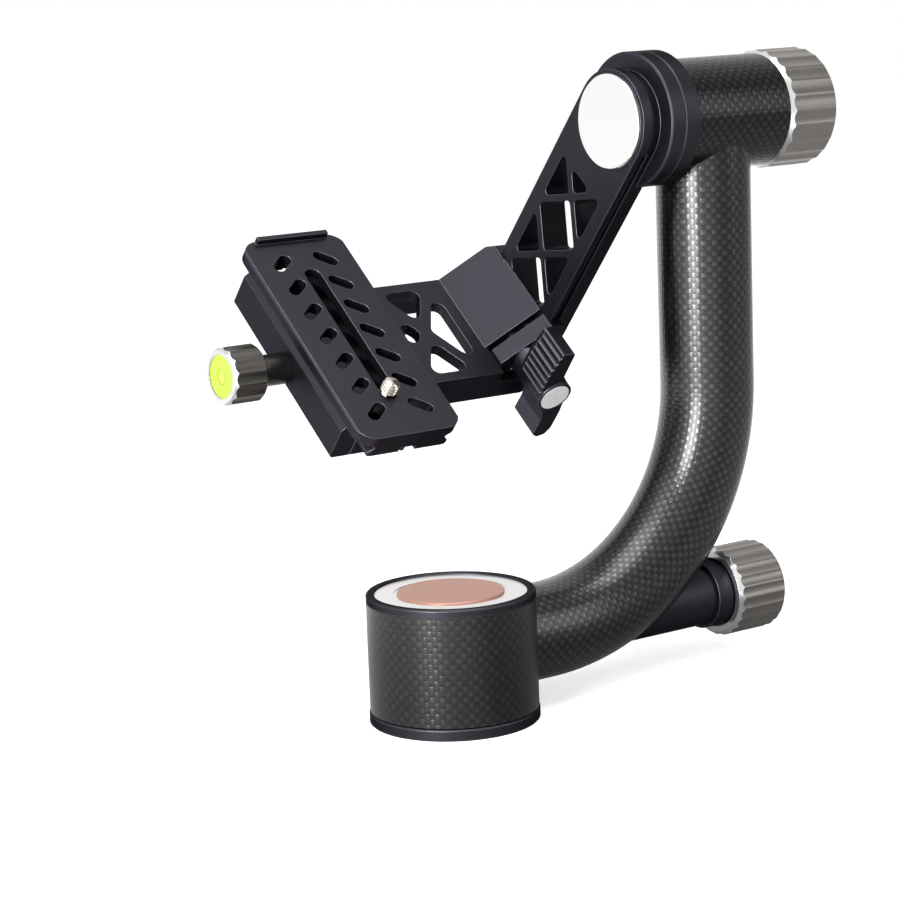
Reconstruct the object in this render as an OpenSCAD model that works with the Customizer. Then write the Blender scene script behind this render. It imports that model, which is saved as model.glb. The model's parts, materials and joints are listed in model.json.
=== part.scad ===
// Gimbal tripod head: a turning base, a bent tube arm, and a tilting leg that carries a
// sliding platform with a dovetail clamp and its plate. All sizes are in millimetres.
// The origin is on the turning axis at the underside of the foot. Z points up, and the
// arm leaves the base along +X. The leg and all it carries are drawn hanging straight
// down in their own frame, and tilted into place by tilt_rest.

/* [Base] */
// Outer radius of the turning base
base_r = 30; // [28:0.5:33]
// Height of the whole base
base_h = 46.4; // [46:0.2:50]
// Height of the fixed foot ring
foot_h = 4.2; // [3.6:0.2:5]
// How far the foot ring stands out past the base
foot_rim = 0.3; // [0:0.1:0.8]
// Running gap between the foot and the turning base
foot_gap = 0.4; // [0.3:0.1:0.6]
// Thickness of the base's carbon sleeve
skin_t = 1.5; // [1:0.25:2]
// Height of the black ring round the top
lip_h = 2.8; // [2:0.2:3.2]
// Width of the black ring round the top
lip_w = 3.1; // [2.5:0.1:4]
// Thickness of the silver top disc
disc_t = 2.2; // [1.8:0.1:2.4]
// Radius of the medallion
medal_r = 19; // [18:0.5:22]
// Thickness of the medallion
medal_t = 1.2; // [0.8:0.1:1.3]
// Radius of the polished step round the medallion
medal_step_r = 20.4; // [20:0.2:24]

/* [Tripod thread] */
// Major radius of the 3/8 inch tripod thread
thread_r = 4.7625; // [4.7625]
// Depth of the tripod thread
thread_depth = 14; // [12:1:18]
// Outer radius of the threaded insert
insert_r = 6; // [5.8:0.1:6.3]

/* [Pan bearings] */
// Radius of the spindle in the bearings
spindle_r = 7.5; // [7.2:0.1:7.8]
// Outer radius of the pan bearings
pan_bearing_r = 14; // [13.6:0.1:14.4]
// Width of a bearing
bearing_w = 7; // [6:0.5:7]
// Radius of a bearing ball
ball_r = 1.95; // [1.8:0.05:2]
// Number of balls in a pan bearing
pan_ball_count = 11; // [9:1:12]
// Clearance between a ball and its groove
ball_play = 0.05; // [0.03:0.01:0.08]
// Radius of the brake drum on the spindle
drum_r = 10.5; // [10:0.1:11]
// Room over the spindle nut, under the top disc
nut_room = 0.7; // [0.5:0.1:1]

/* [Arm] */
// Wall of the base above the arm's socket
arm_above = 1; // [1:0.1:1.4]
// Wall of the base below the arm's socket
arm_below = 3; // [2.6:0.1:3.4]
// Wall of the arm tube
arm_wall = 2; // [1.5:0.1:2.5]
// Distance from the turning axis to the start of the bend
bend_x = 40.3; // [36:0.5:44]
// Radius of the bend at the tube's centre
bend_r = 80.5; // [70:0.5:86]
// Height of the tilt axis
tilt_z = 205.15; // [195:1:225]

/* [Pan lock] */
// Outer radius of the lock tube
lock_tube_r = 11.25; // [10:0.25:12]
// Wall of the lock tube
lock_tube_wall = 2; // [1.5:0.25:2.5]
// Outer end of the lock tube
lock_tube_end = 121; // [120:0.5:123]
// Radius of the collar on the lock tube's end
lock_collar_r = 12.6; // [12.4:0.1:13]
// Length of the collar on the lock tube's end
lock_collar_l = 9; // [7:0.5:12]
// Radius of the lock rod
lock_rod_r = 4; // [3.5:0.25:4.5]
// Radius of the brake shoe
shoe_r = 5.2; // [5:0.1:5.3]
// Radius of the pan knob
pan_knob_r = 16.8; // [16:0.2:18]
// Length of the pan knob
pan_knob_l = 22.5; // [20:0.5:25]

/* [Tilt housing] */
// Outer radius of the housing's carbon sleeve
housing_r = 20.7; // [20:0.1:21.5]
// Thickness of the housing's carbon sleeve
housing_skin_t = 1.8; // [1.2:0.2:2.2]
// Where the sleeve begins, along X
housing_x0 = 99.6; // [99:0.2:100]
// Where the sleeve ends, along X
housing_x1 = 146; // [145:0.5:148]
// Radius of the collar and of the leg's flange
collar_r = 24.4; // [23.5:0.1:25.5]
// Width of the collar
collar_w = 7.2; // [6.8:0.1:7.6]
// Outer radius of the tilt bearings
tilt_bearing_r = 16; // [15.6:0.1:16.2]
// Radius of the tilt shaft in the bearings
tilt_shaft_r = 10; // [9.6:0.1:10.2]
// Number of balls in a tilt bearing
tilt_ball_count = 13; // [11:1:15]
// Distance from the front bearing to the rear bearing
tilt_bearing_pitch = 24; // [20:1:25]
// Radius of the tilt knob
tilt_knob_r = 21.9; // [21:0.1:23]
// Length of the tilt knob
tilt_knob_l = 22.3; // [20:0.5:25]
// Radius of the tilt knob's stud
tilt_stud_r = 5; // [4:0.5:6]

/* [Knob flutes] */
// Number of flutes on the two large knobs
flute_count = 24; // [16:1:30]
// Depth of a flute
flute_depth = 0.5; // [0.4:0.05:0.8]
// Width of the polished bevel
bevel_w = 1.9; // [1:0.1:2.5]
// Bevel of a knob's far rim, deeper than its flutes
rim_bevel = 0.9; // [0.8:0.1:1.2]

/* [Swing leg] */
// Tilt of the leg and the platform at rest, in degrees
tilt_rest = 39.9; // [0:0.1:60]
// Front face of the leg, along X
leg_front = 77.6; // [77:0.2:78]
// Thickness of the leg
leg_t = 11.7; // [11:0.1:12.4]
// Half width of the leg's front lip and of its head
leg_half = 18.8; // [18:0.1:19.2]
// Half width of the leg's back part
leg_back_half = 17.9; // [17.4:0.1:18]
// Depth of the dovetail groove into the leg's side
leg_groove = 2.6; // [2:0.1:3]
// Thickness of the leg's front lip at its edge
leg_lip = 1.6; // [1:0.1:2]
// Length of the leg from the tilt axis
leg_l = 119; // [118.5:0.5:125]
// Width of the leg's round flange, along X
flange_w = 6.2; // [5.8:0.1:6.4]
// Radius of the mirror cap
cap_r = 17.1; // [16:0.1:17.4]
// How far the mirror cap stands proud
cap_proud = 1.2; // [0.6:0.1:1.6]
// Width of a truss rib in the leg
leg_rib = 2.5; // [2.2:0.1:3.5]
// Distance from the tilt axis to the first rib crossing
leg_cross0 = 36.7; // [36:0.1:38]
// Length of the leg below the last rib crossing
leg_foot_l = 24.3; // [24:0.1:25]
// Half width of the truss pockets in the leg
leg_pocket_half = 13.2; // [12.4:0.1:13.6]

/* [Platform] */
// How far the leg's end hangs below the platform's top face
deck_drop = 18.2; // [17:0.2:19]
// Thickness of the platform at its side rails
deck_t = 13.5; // [13:0.1:14]
// Thickness of the platform's pierced web
web_t = 4.5; // [4:0.1:5.5]
// Half width of the platform
deck_half = 24.9; // [24:0.1:26]
// Width of a side rail
rail_w = 3.9; // [3.4:0.1:4.4]
// Foot of the sloped gusset, along X
gusset_x = 59.5; // [59:0.1:59.6]
// Width of the level land at the gusset's upper end
gusset_land = 0.18; // [0.1:0.02:0.4]
// Cut of the gusset's upper corner
gusset_corner = 2.4; // [1.5:0.1:3]
// Where the bracket's fixed part ends, towards the jaw
block_side = 11.8; // [11:0.1:12]
// Gap between the fixed part and the jaw
jaw_gap = 2.6; // [2.5:0.1:3]
// Outer face of the bracket's jaw, from the middle
jaw_side = 21.6; // [21.4:0.1:22.4]
// Width of a truss rib in the platform
deck_rib = 4.4; // [3.5:0.1:5]
// Centre of the platform's rib crossing, along X
deck_cross_x = 39; // [38.6:0.1:39.6]
// Outer end of the platform's pockets, along X
deck_pocket_x1 = 54; // [53:0.2:55]

/* [T knob] */
// Where the T knob's screw lies, along X
t_knob_x = 71.3; // [71:0.1:71.6]
// How far the T knob's screw lies above the platform's top face
t_knob_rise = 3.8; // [3.4:0.1:4.2]
// Radius of the T knob's screw
t_screw_r = 3; // [2.5:0.25:3]
// Radius of the T knob's hub
t_hub_r = 7; // [6.6:0.1:7.2]
// Outer face of the T knob, from the middle
t_knob_face = 43.4; // [42:0.2:45]
// Depth of the T knob's wings
t_wing_d = 14.9; // [13:0.1:15.5]
// Reach of a wing from the screw's axis
t_wing_l = 22.8; // [20:0.2:25]
// Radius of the T knob's silver cap
t_cap_r = 5.9; // [5.6:0.1:6.2]
// Front side of a wing, from the screw's axis
t_wing_out = 7.2; // [6.8:0.1:7.6]
// Back side of a wing, from the screw's axis
t_wing_back = 8; // [7.6:0.1:8.4]

/* [Clamp] */
// Middle of the clamp and of its plate, along X
clamp_x = 0.9; // [0.5:0.1:1.3]
// Length of the clamp
clamp_l = 79; // [76:1:82]
// Underside of the clamp, below the platform's top face
clamp_drop = 15.4; // [14.5:0.1:16]
// Inner end of the clamp's fixed jaw, from the middle
clamp_in = 25.1; // [24.6:0.1:25.5]
// Outer face of the clamp's movable jaw, from the middle
clamp_out = 20.6; // [20.4:0.1:21.4]
// Thickness of the clamp's movable jaw at its foot
clamp_jaw_t = 8.6; // [8:0.1:9]
// Radius of the clamp's screw
clamp_screw_r = 3; // [2.5:0.25:3]
// Radius of the clamp knob
clamp_knob_r = 10.6; // [9.6:0.1:11]
// Length of the clamp knob's fluted part
clamp_knob_l = 14; // [12:0.5:16]
// Radius of the clamp knob's hub
clamp_hub_r = 5.8; // [5.4:0.1:6]
// Length of the clamp knob's hub
clamp_hub_l = 13.2; // [11:0.2:14]
// Number of flutes on the clamp knob
clamp_flutes = 14; // [10:1:18]
// Radius of the bubble level
level_r = 8; // [7:0.1:8.4]

/* [Plate] */
// How far the plate's top face stands above the platform's
plate_rise = 7.8; // [7.4:0.1:8]
// Thickness of the plate
plate_t = 9.2; // [9:0.1:9.4]
// Thickness of the plate's top flange at its edge
plate_flange = 4.1; // [3.6:0.1:4.2]
// Half width of the plate's top flange
plate_half = 22; // [21.4:0.1:23]
// Half width of the plate's dovetail
dove_half = 17.5; // [17.2:0.1:17.8]
// Depth of the dovetail's 45 degree undercut
dove_cut = 2.3; // [1.8:0.1:2.5]
// Length of the plate
plate_l = 100; // [94:1:104]
// How far the plate stands from the clamp's middle, towards the camera's lens
plate_shift = 2.5; // [0:0.1:4]
// Distance between the plate's slots
slot_pitch = 12.6; // [12:0.1:13]
// Number of slots on each side of the plate
slot_count = 7; // [5:1:7]
// Width of a side slot
slot_w = 4.6; // [4:0.1:4.8]
// Length of a side slot
slot_l = 10; // [8:0.2:10.4]
// Angle of a side slot, in degrees
slot_angle = 38; // [30:1:45]
// Distance of the side slots from the plate's middle
slot_x = 9.5; // [9.4:0.1:10]
// Thickness of the plate over the hollow of its underside
plate_skin = 5; // [4.8:0.1:5.4]
// Half width of that hollow
plate_hollow_half = 12.7; // [12:0.1:13]
// Thickness of the plate's ends past that hollow
plate_end_t = 7; // [6.6:0.1:7.4]
// Radius of a stop pin
stop_pin_r = 1.5; // [1.2:0.1:1.8]
// Radius of the camera screw
camera_screw_r = 3.175; // [3.175]
// How far the camera screw stands out of the plate
camera_screw_h = 5; // [4.5:0.1:5.5]
// Where the camera screw stands in its slot, from the clamp's middle
camera_screw_v = 32; // [0:1:32]

/* [Fits] */
// Clearance between a turning shaft and its bore
run_play = 0.04; // [0.02:0.01:0.08]
// Clearance of a sliding or gripping face
slide_play = 0.12; // [0.08:0.01:0.2]
// Edge bevel of machined parts
edge = 0.5; // [0.3:0.1:0.8]

/* [Hidden] */
$fn = 96;
eps = 0.01;

// Derived sizes of the base
foot_r = base_r + foot_rim;
turn_z0 = foot_h + foot_gap;
lip_z0 = base_h - lip_h;
core_r = base_r - skin_t;
arm_r = (lip_z0 - turn_z0 - arm_above - arm_below) / 2;
arm_z = lip_z0 - arm_above - arm_r;
disc_r = base_r - lip_w;
disc_z1 = lip_z0 + disc_t;
medal_z0 = disc_z1 - medal_t + 0.5;
race_t = 0.28;
pan_seat_z0 = foot_h + 1.4;
pan_drum_z0 = pan_seat_z0 + bearing_w;
pan_drum_z1 = arm_z + shoe_r + 1.2;
pan_seat_z1 = pan_drum_z1 + bearing_w;
washer_t = 0.8;
nut_z0 = pan_seat_z1 + washer_t;
nut_h = lip_z0 - nut_room - nut_z0;
spindle_top = nut_z0 + nut_h;
spindle_thread_r = spindle_r - 0.5;
spindle_nut_r = spindle_thread_r + 4;
shoulder_r = spindle_r + race_t * (pan_bearing_r - spindle_r) - 0.2;
drum_room = 0.6;
socket_x = 20.5;

// Derived sizes of the arm and the pan lock
arm_x = bend_x + bend_r;
arm_bore = arm_r - arm_wall;
rod_x0 = socket_x - 0.5;
rod_socket = 4;
shoe_x0 = drum_r + 0.03;
pan_knob_x0 = lock_tube_end + 0.4;
knob_recess = 4;
collar_reach = 2.2;
lock_nut_l = 14;

// Derived sizes of the tilt housing
housing_core_r = housing_r - housing_skin_t;
collar_x0 = housing_x0 - collar_w;
flange_x1 = collar_x0 - 0.2;
flange_x0 = flange_x1 - flange_w;
front_x = housing_x0 + 0.4;
rear_x = front_x + tilt_bearing_pitch;
shaft_nut_l = 4;
shaft_end = rear_x + bearing_w + shaft_nut_l;
friction_t = 1.5;
pressure_t = 2;
brake_x0 = shaft_end + 0.1;
pressure_x0 = brake_x0 + friction_t;
stud_x0 = pressure_x0 + pressure_t;
plug_x0 = stud_x0 + 1.2;
tilt_knob_x0 = housing_x1 + 0.05;
shaft_shoulder_r = tilt_shaft_r + race_t * (tilt_bearing_r - tilt_shaft_r) - 0.2;

// Derived sizes of the leg
leg_back = leg_front + leg_t;
leg_cross_pitch = (leg_l - leg_cross0 - leg_foot_l) / 2;
leg_bolt_reach = 17;
dowel_reach = 5;
leg_bolt_r = 4;
leg_bolt_head_r = 6.5;
leg_bolt_head_h = 6;
cap_t = 2.2;
groove_x0 = leg_front + leg_lip;
groove_x1 = groove_x0 + leg_groove;
groove_x2 = groove_x1 + 1.4;
groove_half = leg_half - leg_groove;

// Derived sizes of the bracket
deck_top = leg_l - deck_drop;
deck_bottom = deck_top + deck_t;
deck_x0 = clamp_x + clamp_in;
block_x1 = leg_front - slide_play;
gusset_top = deck_top - (block_x1 - gusset_land - gusset_x);
hook_x1 = groove_x2 - 0.5;
jaw_x0 = gusset_x;
jaw_v0 = block_side + jaw_gap;
jaw_bottom = deck_top + 5.2;
pocket_half = deck_half - rail_w;
hollow_half = pocket_half + 0.3;
bolt_land = 8;
heel = 3;
jaw_pin_r = 1.25;
jaw_pins = [[75.2, deck_top - 9.4], [66.5, deck_top + 2.1]];
t_knob_s = deck_top - t_knob_rise;

// Derived sizes of the clamp and the plate
plate_top = deck_top - plate_rise;
dove_bottom = plate_top + plate_t;
floor_s = dove_bottom + slide_play;
dove_edge_s = dove_bottom - 1.6;
waist_s = dove_edge_s - dove_cut;
waist_half = dove_half - dove_cut;
clamp_top = plate_top + plate_flange + 1.2;
clamp_half_l = clamp_l / 2;
clamp_split = clamp_out - clamp_jaw_t;
clamp_bottom = deck_top + clamp_drop;
clamp_screw_s = clamp_bottom - 5.9;
clamp_bolt_room = 12;
clamp_screw_reach = 11;
clamp_pin_r = 1.5;
clamp_pin_v = 27;
clamp_bolt_r = 2;
clamp_bolt_v = 14;
clamp_knob_x0 = clamp_x - clamp_out - clamp_hub_l;
level_bubble_r = 2.3;
slot_half_w = 3.4;
centre_slot = [-31, 35.5];
screw_head_r = 4.8;
screw_head_t = 2.6;
screw_shank_r = 2.6;
screw_relief = 0.3;
clip_t = 0.8;

// General helpers

// Points of an arc that rounds the corner b of a path from a through b to c
function unit2(v) = v / norm(v);
function corner(a, b, c, r, n) =
    let (u = unit2(a - b), w = unit2(c - b), half = acos(u * w) / 2,
         m = b + unit2(u + w) * r / sin(half),
         p = b + u * r / tan(half) - m, q = b + w * r / tan(half) - m,
         a0 = atan2(p[1], p[0]), turn = atan2(q[1], q[0]) - a0,
         sweep = turn > 180 ? turn - 360 : turn < -180 ? turn + 360 : turn)
    [for (i = [0:n]) m + r * [cos(a0 + sweep * i / n), sin(a0 + sweep * i / n)]];
// Closed outline with all corners rounded to radius r
function rounded(pts, r, n = 5) = let (k = len(pts))
    [for (i = [0:k - 1]) each corner(pts[(i + k - 1) % k], pts[i], pts[(i + 1) % k], r, n)];

module ring(r_out, r_in, h) {
    difference() {
        cylinder(r = r_out, h = h);
        translate([0, 0, -1]) cylinder(r = r_in, h = h + 2);
    }
}

// Rod along +X from x0 to x1, on the axis of its own frame
module rod_x(x0, x1, r) {
    translate([x0, 0, 0]) rotate([0, 90, 0]) cylinder(r = r, h = x1 - x0);
}

module tube_x(x0, x1, r_out, r_in) {
    difference() {
        rod_x(x0, x1, r_out);
        rod_x(x0 - 1, x1 + 1, r_in);
    }
}

module at_lock_axis() translate([0, 0, arm_z]) children();
module at_tilt_axis() translate([0, 0, tilt_z]) children();
// The hanging frame of the leg: X along the tilt axis, v towards the lens is -Y, s down is -Z
module hanging() translate([0, 0, tilt_z]) rotate([tilt_rest, 0, 0]) children();

// Outline in (v, s), extruded along X
module across_x(x0, x1) {
    translate([x0, 0, 0]) rotate([90, 0, 90]) linear_extrude(x1 - x0) rotate(180) children();
}

// Outline in (x, s), extruded along v
module along_v(v0, v1) {
    translate([0, -v0, 0]) rotate([90, 0, 0]) linear_extrude(v1 - v0) mirror([0, 1]) children();
}

// Outline in (x, v), extruded down from s0 to s1
module down_s(s0, s1) {
    translate([0, 0, -s1]) linear_extrude(s1 - s0) mirror([0, 1]) children();
}

module rod_v(x, s, v0, v1, r) along_v(v0, v1) translate([x, s]) circle(r);
module bore_x(v, s, x0, x1, r) across_x(x0, x1) translate([v, s]) circle(r);

// Slot with round ends, centred, along its own first axis
module slot2(l, w) {
    square([l - w, w], center = true);
    for (side = [-1, 1]) translate([side * (l - w) / 2, 0]) circle(w / 2);
}

// One bearing ring between two radii, with its ball groove, standing on z = 0
module race(r0, r1, pitch_r) {
    rotate_extrude() difference() {
        translate([r0, 0]) square([r1 - r0, bearing_w]);
        translate([pitch_r, bearing_w / 2]) circle(ball_r + ball_play);
    }
}

module inner_race(bore_r, out_r) {
    race(bore_r, bore_r + race_t * (out_r - bore_r), (bore_r + out_r) / 2);
}

module outer_race(bore_r, out_r) {
    race(out_r - race_t * (out_r - bore_r), out_r, (bore_r + out_r) / 2);
}

module ball_ring(bore_r, out_r, count) {
    for (i = [0:count - 1]) rotate(i * 360 / count)
        translate([(bore_r + out_r) / 2, 0, bearing_w / 2]) sphere(ball_r, $fn = 24);
}

module at_pan_bearings() {
    for (z = [pan_seat_z0, pan_drum_z1]) translate([0, 0, z]) children();
}

module at_tilt_bearings() {
    for (x = [front_x, rear_x]) translate([x, 0, tilt_z]) rotate([0, 90, 0]) children();
}

// Fluted knob along +X from x = 0: bevelled at its near end, and softly at its far end
module fluted_knob(r, l, count, bevel) {
    flute_half = 0.43 * 2 * PI * r / count;
    flute_round = pow(flute_half, 2) / (2 * flute_depth);
    flute_r = flute_round * r / (r - flute_round);
    intersection() {
        rotate([90, 0, 90]) linear_extrude(l) difference() {
            circle(r);
            for (i = [0:count - 1]) rotate((i + 0.5) * 360 / count)
                translate([r + flute_r - flute_depth, 0]) circle(flute_r);
        }
        rotate([0, 90, 0]) rotate_extrude() polygon([
            [0, 0], [r - bevel * 0.8, 0], [r + eps, bevel], [r + eps, l - rim_bevel], [r - rim_bevel, l],
            [0, l]]);
    }
}

// Base

module foot() {
    color("#1b1b1e") difference() {
        union() {
            rotate_extrude() polygon([
                [0, 0], [foot_r - edge, 0], [foot_r, edge], [foot_r, foot_h - edge],
                [foot_r - edge, foot_h], [0, foot_h]]);
            cylinder(r = shoulder_r, h = pan_seat_z0);
            cylinder(r = spindle_r, h = pan_seat_z1);
            cylinder(r = spindle_thread_r, h = spindle_top);
        }
        translate([0, 0, -1]) cylinder(r = insert_r, h = thread_depth + 1);
    }
}

module thread_insert() {
    color("#c9c9c6") ring(insert_r, thread_r, thread_depth);
}

module brake_drum() {
    color("#9a9a98") difference() {
        union() {
            translate([0, 0, pan_drum_z0]) cylinder(r = shoulder_r, h = pan_drum_z1 - pan_drum_z0);
            translate([0, 0, pan_drum_z0 + drum_room])
                cylinder(r = drum_r, h = pan_drum_z1 - pan_drum_z0 - 2 * drum_room);
        }
        cylinder(r = spindle_r, h = base_h);
    }
}

module pan_inner_races() {
    color("#b8b8b8") at_pan_bearings() inner_race(spindle_r, pan_bearing_r);
}

module pan_balls() {
    color("#d8d8d8") at_pan_bearings() ball_ring(spindle_r, pan_bearing_r, pan_ball_count);
}

module pan_outer_races() {
    color("#a8a8a8") at_pan_bearings() outer_race(spindle_r, pan_bearing_r);
}

module spindle_washer() {
    color("#b8b8b8") translate([0, 0, pan_seat_z1]) ring(shoulder_r, spindle_thread_r, washer_t);
}

module spindle_nut() {
    color("#8a8a8a") translate([0, 0, nut_z0]) difference() {
        cylinder(r = spindle_nut_r, h = nut_h, $fn = 6);
        translate([0, 0, -1]) cylinder(r = spindle_thread_r, h = nut_h + 2);
    }
}

module base_core() {
    color("#3a3a3d") difference() {
        translate([0, 0, turn_z0]) cylinder(r = core_r, h = lip_z0 - turn_z0);
        translate([0, 0, turn_z0 - 1]) cylinder(r = pan_bearing_r, h = pan_drum_z0 - turn_z0 + 1);
        cylinder(r = drum_r + drum_room, h = base_h);
        translate([0, 0, pan_drum_z1]) cylinder(r = pan_bearing_r, h = base_h);
        at_lock_axis() rod_x(0, socket_x + 1, shoe_r + run_play);
        at_lock_axis() rod_x(socket_x, base_r + 1, arm_r);
        at_disc_screws() translate([0, 0, -disc_screw_l]) cylinder(r = disc_screw_r, h = base_h);
    }
}

module base_skin() {
    color("#232326") difference() {
        translate([0, 0, turn_z0]) ring(base_r, core_r, lip_z0 - turn_z0);
        at_lock_axis() rod_x(0, base_r + 1, arm_r);
    }
}

module base_lip() {
    color("#161619") translate([0, 0, lip_z0]) rotate_extrude() polygon([
        [disc_r, 0], [base_r, 0], [base_r, lip_h - edge], [base_r - edge, lip_h],
        [disc_r + edge, lip_h], [disc_r, lip_h - edge]]);
}

disc_screw_r = 1.25;
disc_screw_head_r = 2.4;
disc_screw_l = 6;
disc_screw_place = medal_r - disc_screw_head_r - 0.2;
module at_disc_screws() {
    for (a = [30:120:270]) rotate(a) translate([disc_screw_place, 0, lip_z0]) children();
}

module top_disc() {
    color("#dcdcda") difference() {
        translate([0, 0, lip_z0]) cylinder(r = disc_r, h = disc_t);
        translate([0, 0, medal_z0]) cylinder(r = medal_r, h = base_h);
        translate([0, 0, disc_z1 - 0.3]) cylinder(r = medal_step_r, h = base_h);
        at_disc_screws() translate([0, 0, -1]) cylinder(r = disc_screw_r, h = 5);
        at_disc_screws() cylinder(r1 = disc_screw_r, r2 = disc_screw_head_r, h = medal_z0 - lip_z0);
    }
}

module disc_screws() {
    color("#8f8f8f") at_disc_screws() {
        translate([0, 0, -disc_screw_l]) cylinder(r = disc_screw_r, h = disc_screw_l + 0.2);
        cylinder(r1 = disc_screw_r, r2 = disc_screw_head_r, h = medal_z0 - lip_z0);
    }
}

module medallion() {
    color("#a86a58") translate([0, 0, medal_z0]) rotate_extrude() polygon([
        [0, 0], [medal_r, 0], [medal_r, medal_t - 0.3], [medal_r - 0.3, medal_t], [0, medal_t]]);
}

// Arm

module bent_tube(r) {
    at_lock_axis() rod_x(socket_x, bend_x, r);
    translate([bend_x, 0, arm_z + bend_r]) rotate([90, 0, 0]) rotate([0, 0, -90])
        rotate_extrude(angle = 90) translate([bend_r, 0]) circle(r);
    translate([arm_x, 0, arm_z + bend_r]) cylinder(r = r, h = tilt_z - arm_z - bend_r);
}

module arm_tube() {
    color("#232326") difference() {
        bent_tube(arm_r);
        bent_tube(arm_bore);
        at_lock_axis() rod_x(bend_x, arm_x, lock_tube_r);
        at_lock_axis() rod_x(socket_x - 1, socket_x + 1, arm_bore);
        at_tilt_axis() rod_x(arm_x - 2 * arm_r, arm_x + 2 * arm_r, housing_r);
    }
}

module lock_tube() {
    color("#1b1b1e") at_lock_axis()
        tube_x(socket_x, lock_tube_end, lock_tube_r, lock_tube_r - lock_tube_wall);
}

module lock_collar() {
    color("#131315") at_lock_axis() tube_x(lock_tube_end - lock_collar_l + collar_reach,
        lock_tube_end + collar_reach, lock_collar_r, lock_tube_r);
}

module lock_nut() {
    color("#b08d4a") at_lock_axis() tube_x(lock_tube_end - lock_nut_l, lock_tube_end - 1,
        lock_tube_r - lock_tube_wall, lock_rod_r + run_play);
}

module pan_shoe() {
    color("#5b5048") at_lock_axis() difference() {
        rod_x(shoe_x0, rod_x0, shoe_r);
        translate([0, 0, -arm_z]) cylinder(r = shoe_x0, h = base_h);
        rod_x(rod_x0 - rod_socket, rod_x0 + 1, lock_rod_r - 1 + run_play);
    }
}

module lock_rod() {
    color("#a5a5a5") at_lock_axis() {
        rod_x(rod_x0 - rod_socket + 0.1, rod_x0 + 0.6, lock_rod_r - 1);
        rod_x(rod_x0 + 0.5, pan_knob_x0 + pan_knob_l - 5, lock_rod_r);
    }
}

module pan_knob() {
    color("#7c7771") at_lock_axis() translate([pan_knob_x0, 0, 0]) difference() {
        fluted_knob(pan_knob_r, pan_knob_l, flute_count, bevel_w);
        rod_x(-1, knob_recess, lock_collar_r + 0.6);
        rod_x(0, pan_knob_l - 5, lock_rod_r);
    }
}

// Tilt housing

module housing_core() {
    color("#1b1b1e") difference() {
        union() {
            at_tilt_axis() rod_x(housing_x0 - 1, housing_x1, housing_core_r);
            at_tilt_axis() rotate([0, 90, 0]) translate([0, 0, collar_x0]) rotate_extrude() polygon([
                [0, 0], [collar_r - edge, 0], [collar_r, edge], [collar_r, collar_w - edge],
                [collar_r - edge, collar_w], [0, collar_w]]);
            translate([arm_x, 0, tilt_z - housing_r - 20]) cylinder(r = arm_bore, h = 20 + housing_r);
        }
        at_tilt_axis() rod_x(collar_x0 - 1, front_x + bearing_w, tilt_bearing_r);
        at_tilt_axis() rod_x(front_x, housing_x1, tilt_bearing_r - race_t * 5);
        at_tilt_axis() rod_x(rear_x, housing_x1 + 1, tilt_bearing_r);
    }
}

module housing_skin() {
    color("#232326") difference() {
        at_tilt_axis() tube_x(housing_x0, housing_x1, housing_r, housing_core_r);
        translate([arm_x, 0, tilt_z - 2 * housing_r]) cylinder(r = arm_bore, h = 2 * housing_r);
    }
}

module bearing_retainer() {
    color("#3a3a3d") at_tilt_axis()
        tube_x(collar_x0 + 0.2, front_x, tilt_bearing_r, shaft_shoulder_r + 0.8);
}

module tilt_outer_races() {
    color("#a8a8a8") at_tilt_bearings() outer_race(tilt_shaft_r, tilt_bearing_r);
}

module tilt_balls() {
    color("#d8d8d8") at_tilt_bearings() ball_ring(tilt_shaft_r, tilt_bearing_r, tilt_ball_count);
}

module tilt_inner_races() {
    color("#b8b8b8") at_tilt_bearings() inner_race(tilt_shaft_r, tilt_bearing_r);
}

module tilt_shaft() {
    color("#a5a5a5") hanging() difference() {
        union() {
            rod_x(flange_x1, front_x, shaft_shoulder_r);
            rod_x(flange_x1, rear_x + bearing_w, tilt_shaft_r);
            rod_x(flange_x1, shaft_end, tilt_shaft_r - 2);
        }
        rod_x(flange_x1 - 1, flange_x1 + leg_bolt_reach + 1, leg_bolt_r);
        at_dowels() rod_x(flange_x1 - 1, flange_x1 + dowel_reach, dowel_r);
    }
}

module shaft_nut() {
    color("#8a8a8a") at_tilt_axis() difference() {
        tube_x(rear_x + bearing_w, shaft_end - eps, shaft_shoulder_r + 1.2, tilt_shaft_r - 2);
        for (a = [0:90:270]) rotate([a, 0, 0])
            translate([rear_x + bearing_w - 1, -1.5, shaft_shoulder_r - 0.6]) cube([10, 3, 4]);
    }
}

module friction_washer() {
    color("#6e6252") at_tilt_axis() rod_x(brake_x0, pressure_x0, tilt_shaft_r + 3.5);
}

module pressure_disc() {
    color("#9a9a98") at_tilt_axis() rod_x(pressure_x0, stud_x0, tilt_bearing_r - 0.2);
}

module end_plug() {
    color("#3a3a3d") at_tilt_axis()
        tube_x(plug_x0, housing_x1, tilt_bearing_r, tilt_stud_r + run_play);
}

module tilt_stud() {
    color("#a5a5a5") at_tilt_axis() rod_x(stud_x0 + 0.02, tilt_knob_x0 + tilt_knob_l - 6, tilt_stud_r);
}

module tilt_knob() {
    color("#7c7771") at_tilt_axis() translate([tilt_knob_x0, 0, 0]) difference() {
        fluted_knob(tilt_knob_r, tilt_knob_l, flute_count, bevel_w);
        rod_x(-1, tilt_knob_l - 6, tilt_stud_r);
    }
}

// Swing leg

dowel_r = 1.5;
module at_dowels() for (side = [-1, 1]) translate([0, 0, side * 7.6]) children();

// Pockets between 45 degree ribs: half width h, ribs crossing at the origin, one pocket a side
function side_pocket(h, rib) = let (k = rib / sqrt(2)) [[k, 0], [h, h - k], [h, k - h]];
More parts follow.
